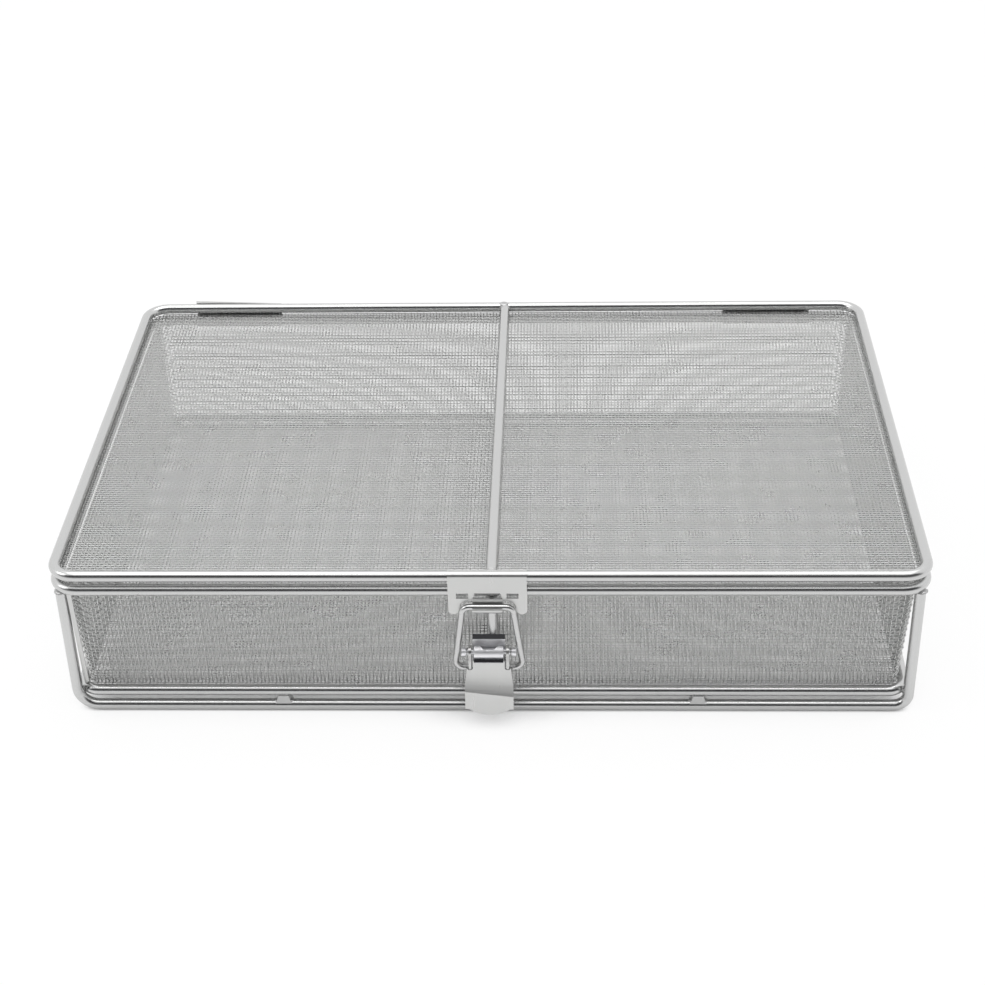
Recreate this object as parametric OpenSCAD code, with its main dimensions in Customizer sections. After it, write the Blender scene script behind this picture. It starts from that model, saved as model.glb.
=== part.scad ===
// Wire mesh sterilising basket with a hinged lid and a toggle latch.
// Origin: middle of the basket's footprint, on the table. +X runs along the long side, +Y to the hinges,
// +Z up.

/* [Rod frame] */
// Width of the rim, between the centres of its rods
frame_w = 380; // [300:1:460]
// Depth of the rim, between the centres of its rods
frame_d = 248; // [200:1:300]
// Height of the rim rod's centre above the table
rim_h = 68.5; // [60:0.5:100]
// Diameter of every frame rod
rod_d = 5; // [4.6:0.1:5.6]
// Bend radius of the three rings at their corners, on the rod's centre line
corner_r = 11; // [9:0.5:14]
// Distance from a rim rod's centre in to a post's centre
post_inset = 2.9; // [1.5:0.1:3.5]
// Bend radius of a corner of the bottom ring
foot_ring_r = 8; // [7:0.5:14]
// Bend radius of a left post where it turns into the foot rail
foot_bend_left = 9; // [5:0.5:12]
// Bend radius of a right post where it turns into the foot rail
foot_bend_right = 6; // [5:0.5:12]
// Height of the spacers between the foot rails and the bottom ring
spacer_h = 2.2; // [1.6:0.1:5]
// Width of a spacer at its top
spacer_top_w = 4.6; // [3:0.1:8]
// Width of a spacer at its foot
spacer_foot_w = 8; // [5:0.1:14]
// Distance of each spacer from the basket's middle
spacer_x = 93.5; // [40:0.5:120]

/* [Woven mesh] */
// Thickness of the cloth between its wire ridges
cloth_t = 0.6; // [0.4:0.05:0.8]
// Height of the wire ridges on each face of the cloth
ridge_h = 0.4; // [0.2:0.05:0.5]
// Width of a wire ridge at its foot
ridge_w = 2.2; // [1.5:0.1:2.6]
// Side of an opening as a share of the spacing of the openings
open_share = 0.66; // [0.5:0.01:0.7]
// Openings across and along the lid and the floor
sheet_cells = [12, 8]; // [6:1:12]
// Openings along and up the front and rear walls
long_cells = [12, 2]; // [2:1:12]
// Openings along and up the side walls
side_cells = [7, 2]; // [2:1:12]
// Width of the seam strip on the front wall
seam_w = 2; // [1:0.1:3]
// Distance of the seam strip from the left end of the rim
seam_inset = 6.8; // [6:0.1:40]

/* [Lid and hinges] */
// Clear height between the rim rod and the lid rod
lid_gap = 2.2; // [1.9:0.1:3.5]
// Length of each hinge leaf along the rear rods
hinge_len = 46; // [20:1:60]
// Distance of each hinge leaf's middle from its end of the rim
hinge_inset = 48; // [40:1:120]
// Height of the left leaf's outer corner above the lid rod's centre
leaf_rise_outer = 2.9; // [1:0.1:3]
// Height of the left leaf's inner corner above the lid rod's centre
leaf_rise_inner = 1.3; // [1:0.1:3]
// Height of the right leaf's top above the lid rod's centre
leaf_rise_right = 1; // [1:0.1:3]
// Thickness of the hinge leaves
hinge_t = 0.8; // [0.5:0.05:1.2]
// How far round the rim rod a hinge leaf is curled, in degrees
hinge_wrap = 225; // [200:1:235]
// Running clearance round the rim rod in a hinge leaf
hinge_fit = 0.08; // [0.02:0.01:0.1]

/* [Keeper plate] */
// Width of the keeper plate
keeper_w = 34.2; // [32:0.2:44]
// Thickness of the keeper plate
keeper_t = 1; // [0.8:0.1:1.4]
// How far the keeper reaches back over the lid rod, past its bend
keeper_reach = 1.3; // [0.6:0.1:4]
// Height from the lid rod's centre down to the tips of the keeper's legs
keeper_drop = 17.6; // [17:0.1:22]
// Width of each of the keeper's legs
keeper_leg_w = 4.6; // [3.5:0.1:6]
// Width of the small windows in the keeper plate
window_w = 5.2; // [3:0.1:5.6]
// Height of the small windows in the keeper plate
window_h = 2.9; // [1.5:0.1:4]
// Width of the hook and of the slot above it
hook_w = 13; // [9:0.5:14]
// Height of the slot above the hook
slot_h = 3; // [1.5:0.1:3.5]
// Height of the hook's lip above the bail's centre
hook_lip = 0.2; // [0:0.05:0.4]

/* [Toggle latch] */
// How far the latch sits to the right of the basket's middle
latch_x = 0.3; // [-5:0.1:5]
// How far the lid's centre bar sits to the right of the basket's middle
bar_x = 2; // [-5:0.1:5]
// Diameter of the bail wire
wire_d = 2.8; // [2.4:0.1:3]
// Height from the lid rod's centre down to the bail's bar
bail_drop = 12.5; // [12:0.1:14]
// Width of the bail at its bar, between wire centres
bail_top_w = 21.8; // [20:0.2:26]
// How far each leg of the bail slants outward towards its foot, in degrees
bail_slant = 7; // [4:0.5:9]
// Bend radius of the bail's corners
bail_r = 3.6; // [3:0.2:6]
// Height of the lever's pivot pin above the table
pivot_h = 38; // [36:0.5:42]
// Distance from the pivot pin down to the bail's ends
throw = 9; // [8:0.1:10]
// How far the bail's ends sit behind the line from pin to hook
over_centre = 0.3; // [0.1:0.05:0.6]
// Diameter of the pivot pin
pin_d = 3; // [2.6:0.1:3.4]
// Overall length of the pivot pin
pin_len = 24; // [23.6:0.1:25]
// Diameter of the pivot pin's heads
pin_head_d = 4; // [3.8:0.1:5]
// Thickness of the lever's and the bracket's sheet
sheet_t = 1.2; // [0.9:0.1:1.3]
// Width of the bracket plate
bracket_w = 14.4; // [13.6:0.1:14.6]
// Height of the bracket plate
bracket_plate_h = 17.8; // [14:0.1:19]
// Height of the bracket plate's top above the pivot pin
bracket_rise = 7.3; // [6:0.1:8]
// Width of the bracket's rolled barrel
barrel_w = 12.6; // [10:0.1:13]
// Width of the lever between its notches
neck_w = 14; // [10:0.1:14.2]
// Width of the lever's tab
tab_w = 21.4; // [20.6:0.1:22]
// Height of the tab's shoulders above the bail's ends
shoulder_rise = 3.7; // [2:0.1:4]
// Height of the lever's tip above the table
tip_h = 9.5; // [7:0.5:12]

/* [Hidden] */
$fn = 48;
steel = "#c9cbcc";
bright_steel = "#dcdee0";
mesh_steel = "#a9acad";

seat = 0.02;       // gap between pieces that are welded together
part_gap = 0.3;    // gap between pieces that move past each other
run_fit = 0.08;    // running clearance round a shaft
collar_l = 0.2;    // length of the collars that hold the bail's bends
over = 1;          // how far a cutting shape reaches past what it cuts

rod_r = rod_d / 2;
lid_h = rim_h + rod_d + lid_gap;
foot_h = rod_r;
ring_h = rod_d + spacer_h + rod_r;
// The bottom ring's bend touches the post from inside.
ring_inset = post_inset - foot_ring_r + (foot_ring_r + rod_d + seat) * cos(45);
post_x = frame_w / 2 - post_inset;
post_y = frame_d / 2 - post_inset;
ring_w = frame_w - 2 * ring_inset;
ring_d = frame_d - 2 * ring_inset;

// The cloth: one plate with ridges on both faces, half its full thickness, and the slant of the four walls.
cloth_half = cloth_t / 2 + ridge_h;
wall_foot_h = ring_h + cloth_half + seat;
wall_rise = rim_h - wall_foot_h;
wall_lean = atan(ring_inset / (rim_h - ring_h));
wall_len = wall_rise / cos(wall_lean);
wall_foot_inset = ring_inset * (rim_h - wall_foot_h) / (rim_h - ring_h);
wall_in = (cloth_half + seat) / cos(wall_lean) + rod_r;
bend_x = frame_w / 2 - ring_inset - foot_ring_r;
bend_y = frame_d / 2 - ring_inset - foot_ring_r;
// Radius of the wall's corner at its foot, on the cloth's middle.
wall_foot_r = foot_ring_r + ring_inset - wall_foot_inset - wall_in;

// Hinge: the leaf is welded to the back of the lid rod and curled round the rear rim rod.
leaf_in = rod_r + hinge_fit;
leaf_out = leaf_in + hinge_t;
hinge_x = frame_w / 2 - hinge_inset;
notch_depth = leaf_out + 2 * part_gap;

// Latch, seen from the side: y values are counted from the front rods' centre line.
front_y = -frame_d / 2;
keeper_back = front_y - rod_r - part_gap;
keeper_face = keeper_back - keeper_t;
wire_r = wire_d / 2;
hook_in = wire_r + part_gap;
hook_out = hook_in + keeper_t;
bar_y = keeper_face - hook_in;
bar_h = lid_h - bail_drop;
bracket_top = pivot_h + bracket_rise;
bracket_foot = bracket_top - bracket_plate_h;
post_lean = atan(ring_inset / (rim_h - ring_h));
bracket_back = front_y + ring_inset * (rim_h - bracket_top) / (rim_h - ring_h)
    - rod_r / cos(post_lean) - seat;
bracket_face = bracket_back - sheet_t;
pin_r = pin_d / 2;
barrel_in = pin_r + run_fit;
barrel_out = barrel_in + sheet_t;
pivot_y = bracket_face - barrel_out + sheet_t / 2;
// The bail's ends lie just behind the line from the hook through the pin.
bail_h = pivot_h - throw;
bail_y = pivot_y + throw * (pivot_y - bar_y) / (bar_h - pivot_h) + over_centre;
bail_len = norm([bar_y - bail_y, bar_h - bail_h]);
bail_tilt = atan((bail_y - bar_y) / (bar_h - bail_h));
bail_foot_w = bail_top_w + 2 * bail_len * tan(bail_slant);

// Lever: its ears straddle the bracket, its tab bulges forward and its tip flares out.
ear_in = max(bracket_w, neck_w) / 2 + part_gap + 0.2;
ear_out = ear_in + sheet_t;
neck_top = pivot_h - 2.1;
lever_back_y = pivot_y - barrel_out - part_gap;
tab_curve_r = 33;
tab_lean_top = 25;
tab_lean_foot = 12;
flare = 22;
tab_curve_h = neck_top - tab_curve_r * sin(tab_lean_top);
tab_curve_y = lever_back_y - sheet_t + tab_curve_r * cos(tab_lean_top);
crease_h = tab_curve_h - tab_curve_r * sin(tab_lean_foot);
crease_y = tab_curve_y - tab_curve_r * cos(tab_lean_foot);
tab_arc_r = 15;
notch_r = 1.3;
ear_r = pin_r + 1.5;
ear_foot_r = wire_r + 1.3;

// ---- shared shapes -------------------------------------------------------------------------------------

// A straight rod along X, centred on the origin.
module rod_x(length, r = rod_r) {
    rotate([0, 90, 0]) cylinder(h = length, r = r, center = true);
}

// A bent piece of rod in the XY plane, round the Z axis, from angle 0 to the given angle.
module rod_bend(bend_r, angle, r = rod_r) {
    rotate_extrude(angle = angle) translate([bend_r, 0]) circle(r = r);
}

// A closed ring of rod with four rounded corners, lying flat at z = 0.
module rod_ring(w, d, bend_r) {
    for (side = [-1, 1]) {
        translate([0, side * d / 2, 0]) rod_x(w - 2 * bend_r);
        translate([side * w / 2, 0, 0]) rotate([0, 0, 90]) rod_x(d - 2 * bend_r);
    }
    for (quarter = [0 : 3]) {
        sx = (quarter == 0 || quarter == 3) ? 1 : -1;
        sy = quarter < 2 ? 1 : -1;
        translate([sx * (w / 2 - bend_r), sy * (d / 2 - bend_r), 0])
            rotate([0, 0, 90 * quarter]) rod_bend(bend_r, 90);
    }
}

// A flat slab with rounded corners, centred on the origin.
module rounded_slab(w, d, r, t) {
    cube([w - 2 * r, d, t], center = true);
    cube([w, d - 2 * r, t], center = true);
    for (sx = [-1, 1], sy = [-1, 1])
        translate([sx * (w / 2 - r), sy * (d / 2 - r), 0]) cylinder(h = t, r = r, center = true);
}

// Spacing of n openings along a length that ends in a web at both ends, and the width of a web.
function cell(length, n) = length / (n + 1 - open_share);
function web(length, n) = cell(length, n) * (1 - open_share);

// Places of the wire ridges along a length: three side by side on every web.
function ridge_places(length, n) =
    [for (i = [0 : n], k = [-1 : 1]) (i - n / 2) * cell(length, n) + k * web(length, n) / 3.2];

// Outline of one wire ridge on a line, from its right foot to its left one.
function ridge_points(x) = [
    [x + ridge_w / 2, cloth_t / 2], [x + ridge_w / 4, cloth_half],
    [x - ridge_w / 4, cloth_half], [x - ridge_w / 2, cloth_t / 2]
];

// Section of half the cloth: a flat underside at the given depth and a row of ridges on top, right to left.
function comb_points(length, n, under) =
    let (places = ridge_places(length, n))
    concat(
        [[-length / 2, -under], [length / 2, -under], [length / 2, cloth_t / 2]],
        [for (i = [len(places) - 1 : -1 : 0]) each ridge_points(places[i])],
        [[-length / 2, cloth_t / 2]]
    );

// Half of the cloth, with its ridges running along Y on top.
module comb(w, d, n) {
    rotate([90, 0, 0]) linear_extrude(d, center = true) polygon(comb_points(w, n, 0));
}

// A flat piece of woven cloth: wires along Y on top, wires along X below, and openings right through.
module cloth(w, d, cells) {
    gap = open_share * [cell(w, cells[0]), cell(d, cells[1])];
    difference() {
        union() {
            comb(w, d, cells[0]);
            mirror([0, 0, 1]) rotate([0, 0, 90]) comb(d, w, cells[1]);
        }
        for (i = [0 : cells[0] - 1], j = [0 : cells[1] - 1])
            translate([
                (i - (cells[0] - 1) / 2) * cell(w, cells[0]),
                (j - (cells[1] - 1) / 2) * cell(d, cells[1]), 0
            ]) cube([gap[0], gap[1], 4 * cloth_half], center = true);
    }
}

// ---- base: rods ----------------------------------------------------------------------------------------

module rim_ring() {
    color(bright_steel) translate([0, 0, rim_h]) rod_ring(frame_w, frame_d, corner_r);
}

module bottom_ring() {
    color(bright_steel) translate([0, 0, ring_h]) rod_ring(ring_w, ring_d, foot_ring_r);
}

// Two posts and the foot rail between them, bent from one rod and butted under the rim.
module bent_frame() {
    post_top = rim_h - rod_r - seat;
    translate([(foot_bend_left - foot_bend_right) / 2, 0, foot_h])
        rod_x(2 * post_x - foot_bend_left - foot_bend_right);
    for (side = [-1, 1]) {
        bend_r = side < 0 ? foot_bend_left : foot_bend_right;
        translate([side * post_x, 0, foot_h + bend_r])
            cylinder(h = post_top - foot_h - bend_r, r = rod_r);
        translate([side * (post_x - bend_r), 0, foot_h + bend_r])
            rotate([90, 0, side > 0 ? 0 : 180]) rotate([0, 0, -90]) rod_bend(bend_r, 90);
    }
}

module front_frame() {
    color(bright_steel) translate([0, -post_y, 0]) bent_frame();
}

module rear_frame() {
    color(bright_steel) translate([0, post_y, 0]) bent_frame();
}

// A small block, wider at its foot, that sits between the foot rail and the bottom ring.
module spacer() {
    block_foot = foot_h + rod_r / 4;
    block_top = ring_h - rod_r / 2;
    rail_y = post_y;
    ring_y = ring_d / 2;
    difference() {
        translate([0, (rail_y + ring_y) / 2 + rod_r, 0]) rotate([90, 0, 0]) linear_extrude(2 * rod_r)
            polygon([
                [-spacer_foot_w / 2, block_foot], [spacer_foot_w / 2, block_foot],
                [spacer_top_w / 2, block_top], [-spacer_top_w / 2, block_top]
            ]);
        translate([0, rail_y, foot_h]) rod_x(2 * spacer_foot_w, rod_r + seat);
        translate([0, ring_y, ring_h]) rod_x(2 * spacer_foot_w, rod_r + seat);
    }
}

module front_spacer(side) {
    color(steel) translate([side * spacer_x, 0, 0]) mirror([0, 1, 0]) spacer();
}

module rear_spacer(side) {
    color(steel) translate([side * spacer_x, 0, 0]) spacer();
}

// ---- base: woven mesh ----------------------------------------------------------------------------------

// Section of a wall's outer half in its corner bend, as [distance from the bend's axis, height].
function wall_point(p) = [
    wall_foot_r + (p[0] + wall_len / 2) * sin(wall_lean) + p[1] * cos(wall_lean),
    (p[0] + wall_len / 2) * cos(wall_lean) - p[1] * sin(wall_lean)
];

module wall_bend() {
    rotate_extrude(angle = 90)
        polygon([for (p = comb_points(wall_len, long_cells[1], cloth_half)) wall_point(p)]);
}

// One flat wall, standing on its foot line at y = 0 and leaning outward, with its long wires outside.
module wall_panel(length, cells) {
    rotate([90 + wall_lean, 0, 0]) translate([0, wall_len / 2, 0])
        mirror([0, 0, 1]) cloth(length, wall_len, cells);
}

// The whole wall: a band of cloth wrapped round the four sides, each flat a hairline short of its bends, and
// cut back where the hinge leaves turn.
module wall_mesh() {
    color(mesh_steel) difference() {
        translate([0, 0, wall_foot_h]) union() {
            for (side = [0, 180]) rotate([0, 0, side]) {
                translate([0, -bend_y - wall_foot_r, 0]) wall_panel(2 * (bend_x - seat), long_cells);
                rotate([0, 0, 90]) translate([0, -bend_x - wall_foot_r, 0])
                    wall_panel(2 * (bend_y - seat), side_cells);
                translate([bend_x, bend_y, 0]) wall_bend();
                translate([-bend_x, bend_y, 0]) rotate([0, 0, 90]) wall_bend();
            }
        }
        for (side = [-1, 1])
            translate([side * hinge_x, frame_d / 2, rim_h])
                cube([hinge_len + 4 * part_gap, 4 * rod_d, 2 * notch_depth], center = true);
    }
}

module floor_mesh() {
    edge = rod_r + seat;
    w = ring_w - 2 * edge;
    d = ring_d - 2 * edge;
    color(mesh_steel) translate([0, 0, ring_h]) intersection() {
        cloth(w, d, sheet_cells);
        rounded_slab(w, d, foot_ring_r - edge, 4 * cloth_half);
    }
}

// How far a bend's centre line stands back from the straight beside it, at a distance from the corner's side.
function bend_depth(r, inset) = r - sqrt(r * r - pow(max(r - inset, 0), 2));

// A thin strip that covers the seam of the wall's cloth, welded between rim and bottom ring beside a post.
module seam_strip() {
    strip_t = sheet_t / 2;
    strip_foot = ring_h + rod_r + part_gap / 2;
    strip_top = rim_h - rod_r - part_gap / 2;
    rim_y = front_y + bend_depth(corner_r, seam_inset);
    ring_y = front_y + ring_inset + bend_depth(foot_ring_r, seam_inset - ring_inset);
    strip_lean = atan((ring_y - rim_y) / (rim_h - ring_h));
    color(bright_steel)
        translate([seam_inset - frame_w / 2, (rim_y + ring_y) / 2, (rim_h + ring_h) / 2])
            rotate([strip_lean, 0, 0])
                cube([seam_w, strip_t, (strip_top - strip_foot) / cos(strip_lean)], center = true);
}

// ---- base: latch support -------------------------------------------------------------------------------

// An upright rod on the front wall, in line with the lid's bar, cut to sit on the bottom ring and under the
// rim.
module latch_post() {
    color(bright_steel) translate([bar_x, 0, 0]) difference() {
        translate([0, front_y + ring_inset, ring_h]) rotate([post_lean, 0, 0])
            cylinder(h = (rim_h - ring_h) / cos(post_lean), r = rod_r);
        translate([0, front_y, rim_h]) rod_x(4 * rod_d, rod_r + seat);
        translate([0, front_y + ring_inset, ring_h]) rod_x(4 * rod_d, rod_r + seat);
    }
}

// A plate on the post whose tongue is rolled into a barrel round the pivot pin.
module latch_bracket() {
    plate_r = 2;
    bite_r = 4.2;
    bite_depth = 1.9;
    barrel_top = pivot_h + barrel_out;
    color(steel) translate([latch_x, 0, 0]) difference() {
        union() {
            translate([0, bracket_back, (bracket_top + bracket_foot) / 2]) rotate([90, 0, 0])
                translate([0, 0, sheet_t / 2])
                    rounded_slab(bracket_w, bracket_top - bracket_foot, plate_r, sheet_t);
            translate([0, pivot_y, pivot_h]) rod_x(barrel_w, barrel_out);
        }
        translate([0, pivot_y, pivot_h]) rod_x(barrel_w + 2 * over, barrel_in);
        translate([0, bracket_face - seat, barrel_top - bite_depth + bite_r]) rotate([90, 0, 0])
            cylinder(h = 4 * barrel_out, r = bite_r);
    }
}

// ---- lid -----------------------------------------------------------------------------------------------

module lid_ring() {
    color(bright_steel) translate([0, 0, lid_h]) rod_ring(frame_w, frame_d, corner_r);
}

module lid_mesh() {
    color(mesh_steel) translate([0, 0, lid_h - rod_r - seat - cloth_half]) intersection() {
        cloth(frame_w, frame_d, sheet_cells);
        rounded_slab(frame_w, frame_d, corner_r, 4 * cloth_half);
    }
}

// The bar across the middle of the lid, cut to meet the front and rear rods.
module lid_centre_bar() {
    color(bright_steel) translate([bar_x, 0, lid_h]) difference() {
        rotate([0, 0, 90]) rod_x(frame_d);
        for (side = [-1, 1]) translate([0, side * frame_d / 2, 0]) rod_x(4 * rod_d, rod_r + seat);
    }
}

// The curl's section, as [y, z] from the rim rod's centre: from the back, under and up the inner side.
module leaf_section() {
    curl_end = 360 - hinge_wrap;
    reach = 2 * leaf_out;
    difference() {
        circle(r = leaf_out);
        circle(r = leaf_in);
        polygon([
            [0, 0], [reach, 0], [reach, reach], [0, reach],
            [reach * cos(curl_end), reach * sin(curl_end)]
        ]);
    }
}

// A sheet leaf: welded to the back of the lid rod, curled round the rim rod below it. Its left and right
// rises are how far its top corners stand above the lid rod's centre.
module hinge_leaf(side, left_rise, right_rise) {
    to_lid = lid_h - rim_h;
    color(steel) translate([side * hinge_x - hinge_len / 2, frame_d / 2, rim_h]) {
        rotate([90, 0, 90]) linear_extrude(hinge_len) leaf_section();
        translate([0, leaf_out, 0]) rotate([90, 0, 0]) linear_extrude(hinge_t)
            polygon([[0, 0], [hinge_len, 0], [hinge_len, to_lid + right_rise], [0, to_lid + left_rise]]);
    }
}

// Front outline of the keeper plate, with z = 0 at the lid rod's centre.
module keeper_outline() {
    leg_x = (keeper_w - keeper_leg_w) / 2;
    leg_r = keeper_leg_w / 2;
    arch_w = keeper_w - 2 * keeper_leg_w;
    arch_top = -(bail_drop - hook_in - 0.5);
    arch_r = 4.5;
    window_x = (hook_w + window_w) / 2 + 1.8;
    slot_foot = arch_top + 1;
    difference() {
        union() {
            translate([-keeper_w / 2, arch_top]) square([keeper_w, -arch_top + rod_r / 2]);
            for (side = [-1, 1]) {
                translate([side * leg_x - leg_r, -keeper_drop + leg_r])
                    square([keeper_leg_w, keeper_drop - leg_r + arch_top]);
                translate([side * leg_x, -keeper_drop + leg_r]) circle(r = leg_r);
            }
            for (side = [-1, 1]) translate([side * (arch_w - arch_r) / 2, arch_top - arch_r / 2])
                difference() {
                    square(arch_r, center = true);
                    translate([-side * arch_r / 2, -arch_r / 2]) circle(r = arch_r);
                }
        }
        for (side = [-1, 1]) translate([side * window_x, slot_foot + slot_h / 2])
            square([window_w, window_h], center = true);
        polygon([
            [-hook_w / 2, slot_foot], [hook_w / 2, slot_foot],
            [hook_w / 2 - 1, slot_foot + slot_h], [-hook_w / 2 + 1, slot_foot + slot_h]
        ]);
    }
}

// The keeper: a plate hung over the lid rod, with a hook that holds the bail's bar.
module keeper_plate() {
    bend_in = 1;
    bend_out = bend_in + keeper_t;
    flange_top = rod_r + seat + keeper_t;
    color(steel) translate([latch_x, 0, lid_h]) {
        translate([0, keeper_back, 0]) rotate([90, 0, 0]) linear_extrude(keeper_t) keeper_outline();
        translate([-keeper_w / 2, keeper_back + bend_in, flange_top - bend_out])
            rotate([90, 0, 90]) rotate([0, 0, 90]) rotate_extrude(angle = 90)
                translate([bend_in, 0]) square([keeper_t, keeper_w]);
        translate([-keeper_w / 2, keeper_face, 0]) cube([keeper_w, keeper_t, flange_top - bend_out]);
        translate([-keeper_w / 2, keeper_back + bend_in, flange_top - keeper_t])
            cube([keeper_w, keeper_reach, keeper_t]);
        translate([-hook_w / 2, bar_y, -bail_drop]) {
            rotate([90, 0, 90]) rotate([0, 0, 180]) rotate_extrude(angle = 180)
                translate([hook_in, 0]) square([keeper_t, hook_w]);
            translate([0, hook_in, 0]) cube([hook_w, keeper_t, hook_out]);
            translate([0, -hook_out, 0]) cube([hook_w, keeper_t, hook_lip]);
        }
    }
}

// ---- toggle latch --------------------------------------------------------------------------------------

// The lever's sheet seen from the side, as [y, z]: a forward bulge, then a flared tip.
module lever_section() {
    difference() {
        translate([tab_curve_y, tab_curve_h]) difference() {
            circle(r = tab_curve_r, $fn = 180);
            circle(r = tab_curve_r - sheet_t, $fn = 180);
        }
        translate([tab_curve_y - tab_curve_r - over, neck_top]) square(3 * tab_curve_r);
        translate([tab_curve_y - tab_curve_r - over, crease_h - 3 * tab_curve_r])
            square(3 * tab_curve_r);
        translate([tab_curve_y, tab_curve_h - 2 * tab_curve_r]) square(4 * tab_curve_r);
    }
    translate([crease_y, crease_h]) polygon([
        [0, 0], [sheet_t * cos(flare), sheet_t * sin(flare)],
        [sheet_t - (crease_h - tip_h) * tan(flare) + sheet_t * (1 / cos(flare) - 1), tip_h - crease_h],
        [-(crease_h - tip_h) * tan(flare), tip_h - crease_h]
    ]);
}

// The lever's front outline, as [x, z]: a neck between two notches, shoulders and a rounded tip.
module lever_outline() {
    shoulder_h = bail_h + shoulder_rise;
    shoulder_x = neck_w / 2 + 2 * notch_r;
    difference() {
        union() {
            translate([-neck_w / 2, shoulder_h - over]) square([neck_w, neck_top - shoulder_h + 2 * over]);
            polygon([
                [-tab_w / 2, tip_h + 3], [tab_w / 2, tip_h + 3], [tab_w / 2, (crease_h + shoulder_h) / 2],
                [shoulder_x, shoulder_h], [-shoulder_x, shoulder_h], [-tab_w / 2, (crease_h + shoulder_h) / 2]
            ]);
            intersection() {
                translate([0, tip_h + tab_arc_r]) circle(r = tab_arc_r, $fn = 120);
                translate([-tab_w / 2, tip_h - over]) square([tab_w, tab_w / 2]);
            }
        }
        for (side = [-1, 1]) translate([side * (neck_w / 2 + notch_r), shoulder_h]) circle(r = notch_r);
    }
}

// One ear of the lever, seen from the side: it carries the pin and the bail's end.
module ear_section() {
    tab_y = tab_curve_y - sqrt(pow(tab_curve_r - sheet_t / 2, 2) - pow(bail_h - 5 - tab_curve_h, 2));
    translate([pivot_y, pivot_h]) circle(r = ear_r);
    translate([bail_y, bail_h]) circle(r = ear_foot_r);
    polygon([
        [pivot_y + ear_r, pivot_h], [pivot_y - ear_r, pivot_h],
        [tab_y, bail_h - 1], [tab_y, bail_h - 8], [bail_y, bail_h - ear_foot_r],
        [bail_y + ear_foot_r, bail_h]
    ]);
}

module latch_lever() {
    color(steel) translate([latch_x, 0, 0]) difference() {
        union() {
            intersection() {
                translate([-tab_w / 2, 0, 0]) rotate([90, 0, 90]) linear_extrude(tab_w) lever_section();
                translate([0, front_y, 0]) rotate([90, 0, 0]) linear_extrude(frame_d / 2) lever_outline();
            }
            for (side = [-1, 1]) translate([side * (ear_in + ear_out) / 2 - sheet_t / 2, 0, 0])
                rotate([90, 0, 90]) linear_extrude(sheet_t) ear_section();
        }
        translate([0, pivot_y, pivot_h]) rod_x(2 * tab_w, pin_r + seat);
        translate([0, bail_y, bail_h]) rod_x(2 * tab_w, wire_r + run_fit);
    }
}

// A pin turned with a head at each end.
module pivot_pin() {
    head_l = 1.7;
    color(bright_steel) translate([latch_x - pin_len / 2, pivot_y, pivot_h]) rotate([0, 90, 0])
        rotate_extrude() polygon([
            [0, 0], [pin_head_d / 2, 0], [pin_head_d / 2, head_l], [pin_r, head_l],
            [pin_r, pin_len - head_l], [pin_head_d / 2, pin_len - head_l],
            [pin_head_d / 2, pin_len], [0, pin_len]
        ]);
}

// The bail: a wire loop, wider at its foot, whose ends turn inward into the lever's ears. Each bend meets the
// straight wire inside a short collar that is hardly thicker than the wire.
module latch_bail() {
    top_cut = bail_r * tan((90 - bail_slant) / 2);
    foot_cut = bail_r * tan((90 + bail_slant) / 2);
    bar_half = bail_top_w / 2 - top_cut;
    foot_x = bail_foot_w / 2 - foot_cut;
    leg_len = bail_len / cos(bail_slant) - top_cut - foot_cut;
    end_x = ear_in - part_gap / 2;
    leg_at = [bail_r * cos(bail_slant), bail_r * sin(bail_slant), 0];
    color(bright_steel) translate([latch_x, bail_y, bail_h]) rotate([bail_tilt + 90, 0, 0]) {
        translate([0, bail_len, 0]) rod_x(2 * bar_half - collar_l / 2, wire_r);
        for (side = [-1, 1]) {
            for (p = [[bar_half, bail_len, 0], [foot_x, 0, 0]])
                translate([side * p[0], p[1], 0]) rod_x(collar_l, wire_r + seat);
            for (p = [[bar_half, bail_len - bail_r, 0] + leg_at, [foot_x, bail_r, 0] + leg_at])
                translate([side * p[0], p[1], 0]) rotate([0, 0, 90 + side * bail_slant])
                    rod_x(collar_l, wire_r + seat);
            translate([side * bar_half, bail_len - bail_r, 0])
                rotate([0, side > 0 ? 0 : 180, bail_slant * side]) rod_bend(bail_r, 90 - bail_slant, wire_r);
            translate([side * foot_x, bail_r, 0]) {
                rotate([0, side > 0 ? 0 : 180, -90 * side]) rod_bend(bail_r, 90 + bail_slant, wire_r);
                rotate([0, 0, side * bail_slant]) translate([side * bail_r, collar_l / 4, 0])
                    rotate([-90, 0, 0]) cylinder(h = leg_len - collar_l / 2, r = wire_r);
            }
            translate([side * (foot_x - collar_l / 4 + end_x) / 2, 0, 0])
                rod_x(foot_x - collar_l / 4 - end_x, wire_r);
        }
    }
}

// ---- nodes ---------------------------------------------------------------------------------------------

rim_ring();
bottom_ring();
front_frame();
rear_frame();
front_spacer(-1);  // front_left_spacer
front_spacer(1);  // front_right_spacer
rear_spacer(-1);  // rear_left_spacer
rear_spacer(1);  // rear_right_spacer
wall_mesh();
floor_mesh();
seam_strip();
latch_post();
latch_bracket();
lid_ring();
lid_mesh();
lid_centre_bar();
hinge_leaf(-1, leaf_rise_outer, leaf_rise_inner);  // left_hinge_leaf
hinge_leaf(1, leaf_rise_right, leaf_rise_right);  // right_hinge_leaf
keeper_plate();
latch_lever();
pivot_pin();
latch_bail();
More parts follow.
